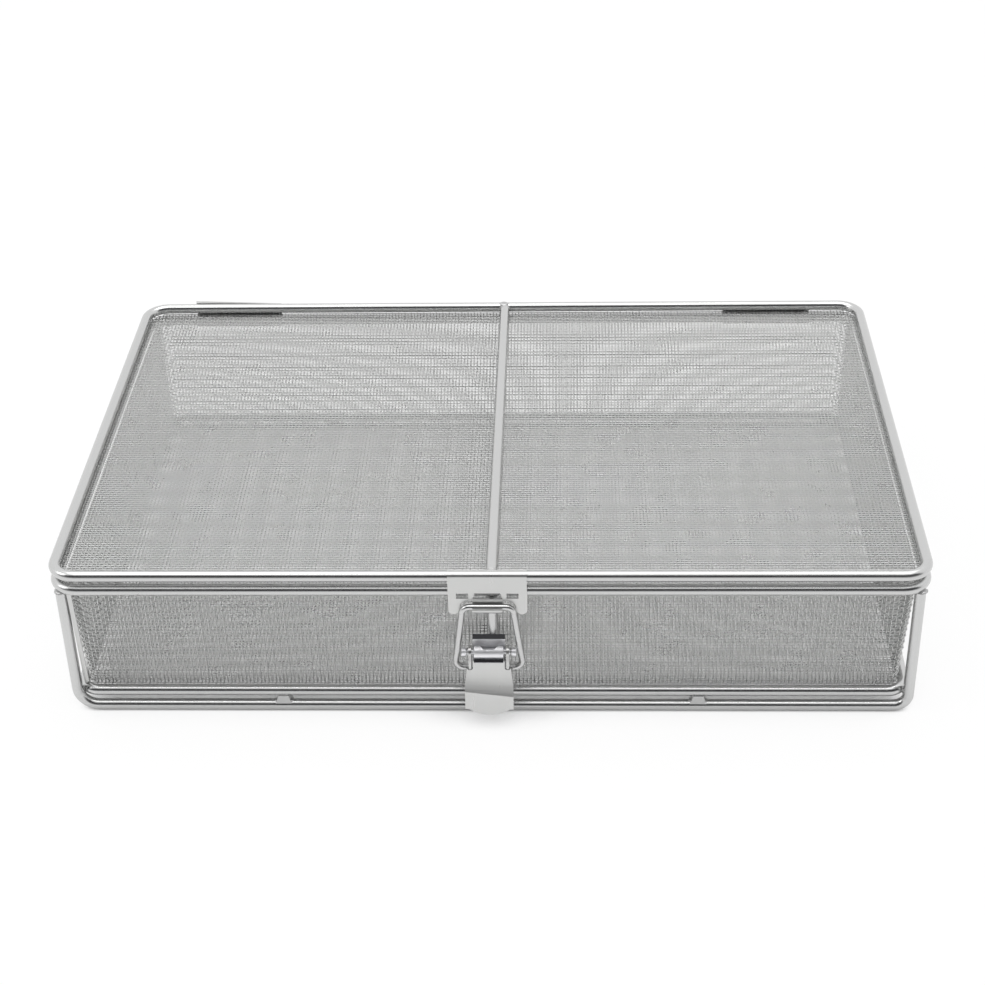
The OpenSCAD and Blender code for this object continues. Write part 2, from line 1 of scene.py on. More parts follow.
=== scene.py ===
# %% [markdown]
# # A wire mesh sterilising basket
# The basket is a box of woven steel cloth in a frame of polished steel rods, with a hinged lid and a toggle
# latch. The rods, the hinges and most of the latch come from the solid model, which is loaded here as a fixed
# frame. This lesson adds what the solid model leaves plain: the real woven wires, the rolled and pressed sheet
# of the latch, the weld spots and the steel finishes.

# %% Load the frame
import math
import bmesh
import bpy
from mathutils import Matrix, Vector


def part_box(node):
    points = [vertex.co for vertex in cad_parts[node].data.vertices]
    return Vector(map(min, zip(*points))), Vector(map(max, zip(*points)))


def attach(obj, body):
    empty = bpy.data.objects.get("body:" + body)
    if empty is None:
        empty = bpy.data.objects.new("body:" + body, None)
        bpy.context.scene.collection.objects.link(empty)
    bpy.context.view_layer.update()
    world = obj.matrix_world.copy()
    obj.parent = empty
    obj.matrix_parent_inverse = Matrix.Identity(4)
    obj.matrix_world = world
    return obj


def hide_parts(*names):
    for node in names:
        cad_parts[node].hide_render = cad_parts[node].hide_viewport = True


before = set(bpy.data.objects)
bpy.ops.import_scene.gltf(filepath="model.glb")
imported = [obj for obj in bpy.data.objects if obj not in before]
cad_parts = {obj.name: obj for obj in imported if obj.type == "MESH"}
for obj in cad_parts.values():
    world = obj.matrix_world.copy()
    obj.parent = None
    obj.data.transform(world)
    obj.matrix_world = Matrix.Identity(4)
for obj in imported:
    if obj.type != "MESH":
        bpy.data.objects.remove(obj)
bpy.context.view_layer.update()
mm = 0.001

# %% [markdown]
# The cloth must lie where the solid mesh panels are. Their boxes give the sizes, so the cloth still fits if
# the solid model changes.

# %% Measure the panels that the cloth replaces
def panel(node):
    low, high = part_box(node)
    return Vector(low), Vector(high)


lid_low, lid_high = panel("lid_mesh")
floor_low, floor_high = panel("floor_mesh")
wall_low, wall_high = panel("wall_mesh")
rod_r = (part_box("lid_centre_bar")[1][0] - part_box("lid_centre_bar")[0][0]) / 2
ring_low, ring_high = panel("bottom_ring")
rim_low, rim_high = panel("rim_ring")
ring_h = (ring_low.z + ring_high.z) / 2
rim_h = (rim_low.z + rim_high.z) / 2
print("lid panel, mm:", [round(v / mm, 1) for v in lid_high - lid_low], "rod radius", round(rod_r / mm, 2))

# %% [markdown]
# ## Steel finishes
# All of the basket is bare stainless steel, but it isn't finished alike. The rods are drawn and polished, the
# pressed sheet parts are satin, and the cloth is made of fine drawn wire that looks darker because it shades
# itself. The bracket and its pin are paler and rougher, and two narrow slopes on the latch are near mirrors. A
# metal's colour is mostly what it reflects, so each finish is one metallic shader, with roughness or fine bumps
# from noise in object coordinates.

# %% A helper that starts a steel material
def steel(name, colour, roughness):
    material = bpy.data.materials.new(name)
    material.use_nodes = True
    shader = material.node_tree.nodes["Principled BSDF"]
    shader.inputs["Base Color"].default_value = (*colour, 1)
    shader.inputs["Metallic"].default_value = 1.0
    shader.inputs["Roughness"].default_value = roughness
    return material, shader


def noise_in(material, scale, stretch=(1, 1, 1)):
    nodes, links = material.node_tree.nodes, material.node_tree.links
    place = nodes.new("ShaderNodeTexCoord")
    turn = nodes.new("ShaderNodeMapping")
    turn.inputs["Scale"].default_value = stretch
    noise = nodes.new("ShaderNodeTexNoise")
    noise.inputs["Scale"].default_value = scale
    noise.inputs["Detail"].default_value = 3.0
    links.new(place.outputs["Object"], turn.inputs["Vector"])
    links.new(turn.outputs["Vector"], noise.inputs["Vector"])
    return noise.outputs["Fac"]


def ranged(material, fac, low, high):
    ramp = material.node_tree.nodes.new("ShaderNodeMapRange")
    ramp.inputs["To Min"].default_value = low
    ramp.inputs["To Max"].default_value = high
    material.node_tree.links.new(fac, ramp.inputs["Value"])
    return ramp.outputs["Result"]


def bumped(material, shader, fac, distance):
    bump = material.node_tree.nodes.new("ShaderNodeBump")
    bump.inputs["Strength"].default_value = 1.0
    bump.inputs["Distance"].default_value = distance
    material.node_tree.links.new(fac, bump.inputs["Height"])
    material.node_tree.links.new(bump.outputs["Normal"], shader.inputs["Normal"])


print("helpers ready")

# %% Polished rod, satin sheet, drawn wire and weld metal
rod_steel, rod_shader = steel("polished_rod", (0.6, 0.602, 0.6), 0.2)
drawn = noise_in(rod_steel, 90)
rod_steel.node_tree.links.new(ranged(rod_steel, drawn, 0.17, 0.31), rod_shader.inputs["Roughness"])
bumped(rod_steel, rod_shader, noise_in(rod_steel, 35), 0.05 * mm)

sheet_steel, sheet_shader = steel("satin_sheet", (0.6, 0.602, 0.595), 0.3)
brushed = noise_in(sheet_steel, 400, (1, 0.08, 0.08))
sheet_steel.node_tree.links.new(ranged(sheet_steel, brushed, 0.22, 0.38), sheet_shader.inputs["Roughness"])
bumped(sheet_steel, sheet_shader, brushed, 0.02 * mm)

wire_steel, wire_shader = steel("drawn_wire", (0.74, 0.742, 0.735), 0.28)
streaks = noise_in(wire_steel, 60)
wire_steel.node_tree.links.new(ranged(wire_steel, streaks, 0.22, 0.36), wire_shader.inputs["Roughness"])

weld_steel, weld_shader = steel("weld_metal", (0.5, 0.5, 0.5), 0.35)
bumped(weld_steel, weld_shader, noise_in(weld_steel, 700), 0.12 * mm)
mirror_steel, mirror_shader = steel("mirror_sheet", (0.6, 0.6, 0.62), 0.07)
bumped(mirror_steel, mirror_shader, noise_in(mirror_steel, 120), 0.02 * mm)
roll_steel, roll_shader = steel("satin_roll", (0.9, 0.9, 0.92), 0.48)
bumped(roll_steel, roll_shader, noise_in(roll_steel, 300), 0.03 * mm)
print("materials:", [m.name for m in (rod_steel, sheet_steel, wire_steel, weld_steel, mirror_steel, roll_steel)])

# %% Give each solid piece its finish
rod_nodes = ["rim_ring", "bottom_ring", "front_frame", "rear_frame", "latch_post", "lid_ring",
             "lid_centre_bar", "latch_bail",
             "front_left_spacer", "front_right_spacer", "rear_left_spacer", "rear_right_spacer"]
sheet_nodes = ["seam_strip", "latch_bracket", "left_hinge_leaf", "right_hinge_leaf", "keeper_plate",
               "latch_lever"]
for names, finish in ((rod_nodes, rod_steel), (sheet_nodes, sheet_steel), (["pivot_pin"], roll_steel)):
    for name in names:
        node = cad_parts[name]
        for slot in node.material_slots:
            slot.material = finish
print(len(rod_nodes), "rod pieces,", len(sheet_nodes), "sheet pieces")

# %% [markdown]
# ## The woven cloth
# Real cloth is two sets of wires that pass over and under each other at every crossing. An image of wires
# would look flat from close by, and modelling each wire by hand is hopeless. Geometry Nodes lays one wire,
# bends it at each crossing, and repeats it. Only one set is bent here and the other stays straight. That saves
# nearly half of the faces, at the price of a weave that is plainer than a real one.

# %% Sizes of the cloth
pitch = 1.7 * mm
wire_r = 0.32 * mm
bow = 0.5 * mm
print("wires per side of the lid:", int((lid_high.x - lid_low.x) / pitch), "x",
      int((lid_high.y - lid_low.y) / pitch))

# %% A short way to write a node tree
class Tree:
    def __init__(self, name, sizes):
        self.tree = bpy.data.node_groups.new(name, "GeometryNodeTree")
        self.tree.interface.new_socket("Geometry", in_out="OUTPUT", socket_type="NodeSocketGeometry")
        self.keys = {}
        for label, kind, value in sizes:
            socket = self.tree.interface.new_socket(label, in_out="INPUT", socket_type="NodeSocket" + kind)
            self.keys[label] = (socket.identifier, value)
        self.inputs = self.tree.nodes.new("NodeGroupInput").outputs
        self.output = self.tree.nodes.new("NodeGroupOutput").inputs[0]

    def add(self, kind, sockets=None, **settings):
        node = self.tree.nodes.new(kind)
        for key, value in settings.items():
            setattr(node, key, value)
        for key, value in (sockets or {}).items():
            if isinstance(value, bpy.types.NodeSocket):
                self.tree.links.new(value, node.inputs[key])
            else:
                node.inputs[key].default_value = value
        return node

    def math(self, operation, *values):
        return self.add("ShaderNodeMath", dict(enumerate(values)), operation=operation).outputs[0]

    def vector(self, operation, *values):
        return self.add("ShaderNodeVectorMath", dict(enumerate(values)), operation=operation).outputs[0]

    def split(self, vector):
        return self.add("ShaderNodeSeparateXYZ", {0: vector}).outputs

    def join(self, x, y, z):
        return self.add("ShaderNodeCombineXYZ", {0: x, 1: y, 2: z}).outputs[0]

    def parity(self, value):
        return self.math("SUBTRACT", 1.0, self.math("MULTIPLY", 2.0, self.math("FLOORED_MODULO", value, 2.0)))


print("tree helper ready")

# %% Run a tree and keep its result as a plain mesh
def grown(name, tree, material, start=None):
    holder = bpy.data.objects.new(name, start or bpy.data.meshes.new(name))
    bpy.context.scene.collection.objects.link(holder)
    modifier = holder.modifiers.new("grow", "NODES")
    modifier.node_group = tree.tree
    for label, (key, value) in tree.keys.items():
        modifier[key] = value
    evaluated = holder.evaluated_get(bpy.context.evaluated_depsgraph_get())
    mesh = bpy.data.meshes.new_from_object(evaluated)
    holder.modifiers.remove(modifier)
    old, holder.data = holder.data, mesh
    bpy.data.meshes.remove(old)
    mesh.name = name
    mesh.materials.clear()
    mesh.materials.append(material)
    mesh.polygons.foreach_set("use_smooth", [True] * len(mesh.polygons))
    triangles = sum(len(p.vertices) - 2 for p in mesh.polygons)
    print(f"{name}: {triangles} triangles")
    return holder


print("grow helper ready")

# %% [markdown]
# ### Flat sheets: the lid and the floor
# A flat sheet is one bent wire along Y, repeated across X with every second one turned over, plus straight
# wires along X. Both sets are cut to a rectangle with rounded corners, as the sheet is cut before it is welded
# to its ring.

# %% A round wire, and the outline of a sheet
def tube(t, curves, radius):
    ring = t.add("GeometryNodeCurvePrimitiveCircle", {"Resolution": 3, "Radius": radius}).outputs["Curve"]
    return t.add("GeometryNodeCurveToMesh", {"Curve": curves, "Profile Curve": ring,
                                             "Fill Caps": True}).outputs[0]


def half_run(t, across, along_size, across_size, corner):
    # half the sheet's length at a place across it, shorter inside the rounded corners
    corner_start = t.math("SUBTRACT", t.math("MULTIPLY", across_size, 0.5), corner)
    beyond = t.math("SUBTRACT", t.math("ABSOLUTE", across), corner_start)
    beyond = t.math("MINIMUM", t.math("MAXIMUM", beyond, 0.0), corner)
    square = t.math("SUBTRACT", t.math("MULTIPLY", corner, corner), t.math("MULTIPLY", beyond, beyond))
    arc = t.math("SQRT", square)
    return t.math("ADD", t.math("SUBTRACT", t.math("MULTIPLY", along_size, 0.5), corner), arc)


print("wire helpers ready")

# %% The tree of a flat woven sheet
def flat_tree(name, width, depth, corner, height):
    t = Tree(name, [("Width", "Float", width), ("Depth", "Float", depth), ("Corner", "Float", corner),
                    ("Height", "Float", height), ("Pitch", "Float", pitch), ("Wire radius", "Float", wire_r),
                    ("Bow", "Float", bow), ("Finish", "Material", wire_steel)])
    g = t.inputs
    across = t.math("ROUND", t.math("DIVIDE", g["Width"], g["Pitch"]))
    along = t.math("ROUND", t.math("DIVIDE", g["Depth"], g["Pitch"]))
    start_x = t.math("MULTIPLY", t.math("SUBTRACT", across, 1.0), t.math("MULTIPLY", g["Pitch"], -0.5))
    start_y = t.math("MULTIPLY", t.math("SUBTRACT", along, 1.0), t.math("MULTIPLY", g["Pitch"], -0.5))
    index = t.add("GeometryNodeInputIndex").outputs[0]
    position = t.add("GeometryNodeInputPosition").outputs[0]

    bent = t.add("GeometryNodeMeshLine", {"Count": along, "Start Location": t.join(0.0, start_y, 0.0),
                                          "Offset": t.join(0.0, g["Pitch"], 0.0)}, mode="OFFSET").outputs[0]
    up = t.join(0.0, 0.0, t.math("MULTIPLY", t.parity(index), g["Bow"]))
    bent = t.add("GeometryNodeSetPosition", {"Geometry": bent, "Offset": up}).outputs[0]
    bent = t.add("GeometryNodeMeshToCurve", {"Mesh": bent}).outputs[0]
    places = t.add("GeometryNodeMeshLine", {"Count": across, "Start Location": t.join(start_x, 0.0, 0.0),
                                            "Offset": t.join(g["Pitch"], 0.0, 0.0)}, mode="OFFSET").outputs[0]
    flip = t.join(1.0, 1.0, t.parity(index))
    bent = t.add("GeometryNodeInstanceOnPoints", {"Points": places, "Instance": bent, "Scale": flip}).outputs[0]
    bent = t.add("GeometryNodeRealizeInstances", {"Geometry": bent}).outputs[0]
    x, y, _ = t.split(position)
    reach = half_run(t, x, g["Depth"], g["Width"], g["Corner"])
    outside = t.math("GREATER_THAN", t.math("ABSOLUTE", y), reach)
    bent = t.add("GeometryNodeDeleteGeometry", {"Geometry": bent, "Selection": outside},
                 domain="POINT").outputs[0]

    # a straight wire from -1 to 1, which is then stretched to the sheet's edge
    straight = t.add("GeometryNodeMeshLine", {"Count": 2, "Start Location": (-1.0, 0.0, 0.0),
                                              "Offset": (2.0, 0.0, 0.0)}, mode="OFFSET").outputs[0]
    straight = t.add("GeometryNodeMeshToCurve", {"Mesh": straight}).outputs[0]
    rows = t.add("GeometryNodeMeshLine", {"Count": along, "Start Location": t.join(0.0, start_y, 0.0),
                                          "Offset": t.join(0.0, g["Pitch"], 0.0)}, mode="OFFSET").outputs[0]
    straight = t.add("GeometryNodeInstanceOnPoints", {"Points": rows, "Instance": straight}).outputs[0]
    straight = t.add("GeometryNodeRealizeInstances", {"Geometry": straight}).outputs[0]
    end = t.math("MULTIPLY", x, half_run(t, y, g["Width"], g["Depth"], g["Corner"]))
    straight = t.add("GeometryNodeSetPosition", {"Geometry": straight,
                                                 "Position": t.join(end, y, 0.0)}).outputs[0]

    both = t.add("GeometryNodeJoinGeometry")
    t.tree.links.new(tube(t, bent, g["Wire radius"]), both.inputs[0])
    t.tree.links.new(tube(t, straight, g["Wire radius"]), both.inputs[0])
    lifted = t.add("GeometryNodeSetPosition", {"Geometry": both.outputs[0],
                                               "Offset": t.join(0.0, 0.0, g["Height"])})
    whole = t.add("GeometryNodeRealizeInstances", {"Geometry": lifted.outputs[0]}).outputs[0]
    whole = t.add("GeometryNodeSetMaterial", {"Geometry": whole, "Material": g["Finish"]}).outputs[0]
    t.tree.links.new(whole, t.output)
    return t


print("flat weave ready")

# %% The cloth of the lid and of the floor
corner_r = 11 * mm      # at the corners of the lid's cloth
foot_ring_r = 8 * mm    # along the middle of the bottom ring's rod
lid_cloth = grown("lid_cloth", flat_tree("lid weave", lid_high.x - lid_low.x, lid_high.y - lid_low.y,
                                         corner_r, (lid_low.z + lid_high.z) / 2), wire_steel)
floor_cloth = grown("floor_cloth", flat_tree("floor weave", floor_high.x - floor_low.x,
                                             floor_high.y - floor_low.y, foot_ring_r - rod_r,
                                             (floor_low.z + floor_high.z) / 2), wire_steel)
print("cloth points:", len(lid_cloth.data.vertices), "lid,", len(floor_cloth.data.vertices), "floor")

# %% [markdown]
# ### The wall: one band round four sides
# The wall leans outward a little and goes round the corners in one band. A rounded rectangle is the path at
# its foot. Upright wires stand on the path at every pitch, and level wires follow it at every height. Each
# point then moves outward with its height, which gives the lean, and by the bow at each crossing.

# %% Sizes of the wall
lean = math.atan2(((rim_high.x - rim_low.x) - (ring_high.x - ring_low.x)) / 2, rim_h - ring_h)
half_cloth = 0.7 * mm
wall_len = (wall_high.z - wall_low.z - 2 * half_cloth * math.sin(lean)) / math.cos(lean)
foot_out = wall_len * math.sin(lean) + half_cloth * math.cos(lean)
foot_w = (wall_high.x - wall_low.x) - 2 * foot_out
foot_d = (wall_high.y - wall_low.y) - 2 * foot_out
foot_r = foot_w / 2 - ((ring_high.x - ring_low.x) / 2 - rod_r - foot_ring_r)
leaf_low, leaf_high = panel("right_hinge_leaf")
leaf_gap, notch_h = 0.6 * mm, rim_h - 4 * mm
top_rows = 3
print("wall foot, mm:", round(foot_w / mm, 1), round(foot_d / mm, 1), "corner", round(foot_r / mm, 2),
      "lean", round(math.degrees(lean), 2))

# %% Lean the wires outward, and cut them away at the hinges
def placed(t, curves, out, up, off):
    # each wire's points go up the slant and off the middle of the cloth
    lean, foot = t.inputs["Lean"], t.inputs["Foot height"]
    away = t.math("ADD", t.math("MULTIPLY", up, t.math("SINE", lean)),
                  t.math("MULTIPLY", off, t.math("COSINE", lean)))
    z = t.math("SUBTRACT", t.math("MULTIPLY", up, t.math("COSINE", lean)),
               t.math("MULTIPLY", off, t.math("SINE", lean)))
    x, y, _ = t.split(t.add("GeometryNodeInputPosition").outputs[0])
    shift = t.add("ShaderNodeVectorMath", {0: out, "Scale": away}, operation="SCALE").outputs[0]
    target = t.vector("ADD", t.join(x, y, t.math("ADD", z, foot)), shift)
    return t.add("GeometryNodeSetPosition", {"Geometry": curves, "Position": target}).outputs[0]


def notched(t, curves):
    x, y, z = t.split(t.add("GeometryNodeInputPosition").outputs[0])
    off = t.math("ABSOLUTE", t.math("SUBTRACT", t.math("ABSOLUTE", x), t.inputs["Leaf middle"]))
    near = t.math("LESS_THAN", off, t.inputs["Leaf half"])
    high = t.math("GREATER_THAN", z, t.inputs["Notch height"])
    rear = t.math("GREATER_THAN", y, 0.0)
    gone = t.math("MULTIPLY", near, t.math("MULTIPLY", high, rear))
    return t.add("GeometryNodeDeleteGeometry", {"Geometry": curves, "Selection": gone},
                 domain="POINT").outputs[0]


print("wall helpers ready")

# %% The tree of the woven band
def band_tree():
    t = Tree("wall weave", [("Width", "Float", foot_w), ("Depth", "Float", foot_d), ("Corner", "Float", foot_r),
                            ("Foot height", "Float", wall_low.z + half_cloth * math.sin(lean)),
                            ("Length", "Float", wall_len), ("Lean", "Float", lean), ("Pitch", "Float", pitch),
                            ("Wire radius", "Float", wire_r), ("Bow", "Float", bow),
                            ("Leaf middle", "Float", (leaf_low.x + leaf_high.x) / 2),
                            ("Leaf half", "Float", (leaf_high.x - leaf_low.x) / 2 + leaf_gap),
                            ("Notch height", "Float", notch_h), ("Finish", "Material", wire_steel)])
    g = t.inputs
    index = t.add("GeometryNodeInputIndex").outputs[0]
    position = t.add("GeometryNodeInputPosition").outputs[0]
    box = t.add("GeometryNodeCurvePrimitiveQuadrilateral", {"Width": g["Width"],
                                                            "Height": g["Depth"]}).outputs[0]
    path = t.add("GeometryNodeFilletCurve", {"Curve": box, "Radius": g["Corner"], "Count": 6},
                 mode="POLY").outputs[0]
    length = t.add("GeometryNodeCurveLength", {"Curve": path}).outputs[0]
    pairs = t.math("ROUND", t.math("DIVIDE", length, t.math("MULTIPLY", g["Pitch"], 2.0)))
    count = t.math("MULTIPLY", pairs, 2.0)
    tangent = t.add("GeometryNodeInputTangent").outputs[0]
    outward = t.vector("CROSS_PRODUCT", tangent, (0.0, 0.0, 1.0))
    levels = t.math("ROUND", t.math("DIVIDE", g["Length"], g["Pitch"]))
    step = t.math("DIVIDE", g["Length"], levels)

    # upright wires
    posts = t.add("GeometryNodeResampleCurve", {"Curve": path, "Count": count}).outputs[0]
    keep_out = t.add("GeometryNodeCaptureAttribute", domain="POINT")
    keep_out.capture_items.new("VECTOR", "out")
    keep_out.capture_items.new("FLOAT", "side")
    t.tree.links.new(posts, keep_out.inputs[0])
    t.tree.links.new(outward, keep_out.inputs[1])
    t.tree.links.new(t.parity(index), keep_out.inputs[2])
    lowest = t.join(0.0, 0.0, t.math("MULTIPLY", step, 0.5))
    upright = t.add("GeometryNodeMeshLine", {"Count": levels, "Start Location": lowest,
                                             "Offset": t.join(0.0, 0.0, step)}, mode="OFFSET").outputs[0]
    keep_turn = t.add("GeometryNodeCaptureAttribute", domain="POINT")
    keep_turn.capture_items.new("FLOAT", "turn")
    t.tree.links.new(upright, keep_turn.inputs[0])
    t.tree.links.new(t.parity(index), keep_turn.inputs[1])
    upright = t.add("GeometryNodeMeshToCurve", {"Mesh": keep_turn.outputs[0]}).outputs[0]
    upright = t.add("GeometryNodeInstanceOnPoints", {"Points": keep_out.outputs[0],
                                                     "Instance": upright}).outputs[0]
    upright = t.add("GeometryNodeRealizeInstances", {"Geometry": upright}).outputs[0]
    off = t.math("MULTIPLY", g["Bow"], t.math("MULTIPLY", keep_out.outputs[2], keep_turn.outputs[1]))
    upright = placed(t, upright, keep_out.outputs[1], t.split(position)[2], off)
    upright = notched(t, upright)

    # level wires: most follow the plain path, the top ones a finer path that can be cut at the hinges
    def rings(curve, first, number):
        keep = t.add("GeometryNodeCaptureAttribute", domain="POINT")
        keep.capture_items.new("VECTOR", "out")
        t.tree.links.new(curve, keep.inputs[0])
        t.tree.links.new(outward, keep.inputs[1])
        start = t.math("MULTIPLY", step, t.math("ADD", first, 0.5))
        heights = t.add("GeometryNodeMeshLine", {"Count": number, "Start Location": t.join(0.0, 0.0, start),
                                                 "Offset": t.join(0.0, 0.0, step)}, mode="OFFSET").outputs[0]
        ring = t.add("GeometryNodeInstanceOnPoints", {"Points": heights, "Instance": keep.outputs[0]}).outputs[0]
        ring = t.add("GeometryNodeRealizeInstances", {"Geometry": ring}).outputs[0]
        return placed(t, ring, keep.outputs[1], t.split(position)[2], 0.0)

    plain_rows = t.math("SUBTRACT", levels, float(top_rows))
    low_rings = rings(path, 0.0, plain_rows)
    fine = t.add("GeometryNodeResampleCurve", {"Curve": path, "Length": 2 * mm}, mode="LENGTH").outputs[0]
    top_rings = notched(t, rings(fine, plain_rows, top_rows))
    both = t.add("GeometryNodeJoinGeometry")
    for curves in (upright, low_rings, top_rings):
        t.tree.links.new(tube(t, curves, g["Wire radius"]), both.inputs[0])
    whole = t.add("GeometryNodeRealizeInstances", {"Geometry": both.outputs[0]}).outputs[0]
    whole = t.add("GeometryNodeSetMaterial", {"Geometry": whole, "Material": g["Finish"]}).outputs[0]
    t.tree.links.new(whole, t.output)
    return t


print("wall weave ready")

# %% The cloth of the wall, and the size of each cloth
wall_cloth = grown("wall_cloth", band_tree(), wire_steel)
for o in (lid_cloth, floor_cloth, wall_cloth):
    co = [v.co for v in o.data.vertices]
    print(o.name, [round(min(c[i] for c in co) / mm, 2) for i in range(3)],
          [round(max(c[i] for c in co) / mm, 2) for i in range(3)])

# %% Put the cloth on its bodies
for cloth, node, body in ((lid_cloth, "lid_mesh", "lid"), (floor_cloth, "floor_mesh", "base"),
                          (wall_cloth, "wall_mesh", "base")):
    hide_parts(node)
    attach(cloth, body)
print("cloth in place of the three mesh panels")

# %% [markdown]
# ## The rolled bracket
# The plate that carries the latch ends in a tongue, rolled forward round the pin, with a hollow in the middle
# of its end. How the plate's top edge is finished isn't known. Such brackets show a dark
# line there, and a slope that mirrors the dark end of the room is one shape that gives it, so it is made so.
# A grid of points bent round the pin makes the tongue: each column of the grid stops where the hollow starts.

# %% Ways to build the small pieces of sheet
pin_low, pin_high = panel("pivot_pin")
pin_y, pin_z = (pin_low.y + pin_high.y) / 2, (pin_low.z + pin_high.z) / 2
plate_low, plate_high = panel("latch_bracket")
latch_x = (plate_low.x + plate_high.x) / 2
tongue_half, tongue_r, tongue_t = 6.5 * mm, 3.5 * mm, 0.9 * mm


def tongue(mesh, half_w, outer, thick, columns=28, rows=26):
    # a hollow in the middle of the end, with a small swelling on each side of it
    hollow_half, hollow_deep = 3.5 * mm, 2.3 * mm
    swell, swell_x, swell_w = 0.5 * mm, 4.7 * mm, 1.2 * mm
    hollow_r = (hollow_half ** 2 + hollow_deep ** 2) / (2 * hollow_deep)
    head, foot = math.radians(100), math.radians(306)
    grids = []
    for radius in (outer, outer - thick):
        grid = []
        for j in range(columns + 1):
            x = half_w * (2 * j / columns - 1)
            cut = math.sqrt(hollow_r ** 2 - x ** 2) - (hollow_r - hollow_deep) if abs(x) < hollow_half else 0.0
            lift = swell * math.exp(-((abs(x) - swell_x) / swell_w) ** 2)
            start = head + (cut - lift) / outer
            column = []
            for i in range(rows + 1):
                turn = start + (foot - start) * i / rows
                column.append(mesh.verts.new((latch_x + x, pin_y + radius * math.cos(turn),
                                              pin_z + radius * math.sin(turn))))
            grid.append(column)
        grids.append(grid)
    top, under = grids
    for j in range(columns):
        for i in range(rows):
            mesh.faces.new((top[j][i], top[j + 1][i], top[j + 1][i + 1], top[j][i + 1]))
            mesh.faces.new((under[j][i + 1], under[j + 1][i + 1], under[j + 1][i], under[j][i]))
        mesh.faces.new((top[j][0], under[j][0], under[j + 1][0], top[j + 1][0]))
        mesh.faces.new((top[j + 1][rows], under[j + 1][rows], under[j][rows], top[j][rows]))
    for i in range(rows):
        mesh.faces.new((top[0][i + 1], under[0][i + 1], under[0][i], top[0][i]))
        mesh.faces.new((top[columns][i], under[columns][i], under[columns][i + 1], top[columns][i + 1]))


def bar_of(mesh, outline, left, right):
    # a bar along X whose end is the outline, given as y and z
    ends = [[mesh.verts.new((x, y, z)) for y, z in outline] for x in (left, right)]
    mesh.faces.new(ends[0])
    mesh.faces.new(list(reversed(ends[1])))
    for a in range(len(outline)):
        b = (a + 1) % len(outline)
        mesh.faces.new((ends[0][b], ends[0][a], ends[1][a], ends[1][b]))


def finished(name, mesh, material, bevel=None):
    bmesh.ops.recalc_face_normals(mesh, faces=mesh.faces)
    data = bpy.data.meshes.new(name)
    mesh.to_mesh(data)
    mesh.free()
    data.materials.append(material)
    piece = bpy.data.objects.new(name, data)
    bpy.context.scene.collection.objects.link(piece)
    data.polygons.foreach_set("use_smooth", [True] * len(data.polygons))
    if bevel:
        edge = piece.modifiers.new("edge", "BEVEL")
        edge.width, edge.segments, edge.limit_method, edge.angle_limit = bevel, 2, "ANGLE", math.radians(20)
        edge.harden_normals = True
    return piece


print("sheet helpers ready")

# %% The bracket's plate and tongue
sheet_t, edge_h, edge_top = 1.2 * mm, 2.1 * mm, 0.15 * mm
lap, tuck = 0.3 * mm, 0.1 * mm
plate_back, plate_front = plate_high.y, plate_high.y - sheet_t
top, foot = plate_high.z, plate_low.z
shoulder = top - edge_h
shape = bmesh.new()
bar_of(shape, [(plate_back, foot), (plate_front, foot), (plate_front, shoulder), (plate_back, shoulder)],
       plate_low.x, plate_high.x)
bracket_plate = finished("bracket_plate", shape, roll_steel, 0.12 * mm)
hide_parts("latch_bracket")
shape = bmesh.new()
bar_of(shape, [(plate_back, shoulder - lap), (plate_front + tuck, shoulder - lap),
               (plate_front, shoulder), (plate_back - edge_top, top), (plate_back, top)],
       plate_low.x, plate_high.x)
bracket_edge = finished("bracket_edge", shape, mirror_steel, 0.1 * mm)
shape = bmesh.new()
tongue(shape, tongue_half, tongue_r, tongue_t)
bracket_tongue = finished("bracket_tongue", shape, roll_steel, 0.15 * mm)
for piece in (bracket_plate, bracket_edge, bracket_tongue):
    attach(piece, "base")
print("tongue points:", len(bracket_tongue.data.vertices))

# %% [markdown]
# The lever is pressed from sheet. Its tab shades from light to dark down to a crease that runs a little askew,
# and is light again below it. The lean that gives such shading is a guess: here the tab leans out more and more
# down to the crease, and hangs almost straight below it. The solid lever is copied, cut into thin levels, and
# each level is moved to that shape. The lip along the top of the neck is a guess too, and stands for whatever
# makes the dark line under the tongue.

# %% A copy of the solid lever, cut into levels
source = bpy.data.objects["latch_lever"]
shape = bmesh.new()
shape.from_mesh(source.data)
shape.transform(source.matrix_world)
bmesh.ops.remove_doubles(shape, verts=shape.verts[:], dist=1e-6)
neck_top, neck_y = 35.9 * mm, -132.57 * mm
lever_low, _ = panel("latch_lever")
levels = 40
for k in range(1, levels):
    level = lever_low.z + (neck_top - lever_low.z) * k / levels
    bmesh.ops.bisect_plane(shape, geom=shape.verts[:] + shape.edges[:] + shape.faces[:], dist=1e-7,
                           plane_co=(0, 0, level), plane_no=(0, 0, 1))


def crease_height(x):
    return crease_mid - crease_slope * (x - latch_x)


crease_mid, crease_slope = 20.4 * mm, 0.11
bmesh.ops.bisect_plane(shape, geom=shape.verts[:] + shape.edges[:] + shape.faces[:], dist=1e-7,
                       plane_co=(latch_x, 0, crease_height(latch_x)), plane_no=(crease_slope, 0, 1))
print("lever levels:", levels, "points:", len(shape.verts))

# %% The front of the solid lever, and the front that replaces it
lean_top, lean_crease, lean_below = 3, 24, 3.5    # degrees from upright, on the pressed tab
arc_start, arc_end, flare = 25, 12, 22            # degrees, on the solid one
solid_bend = 33 * mm
bend_h = neck_top - solid_bend * math.sin(math.radians(arc_start))
bend_y = neck_y + solid_bend * math.cos(math.radians(arc_start))
solid_crease = bend_h - solid_bend * math.sin(math.radians(arc_end))


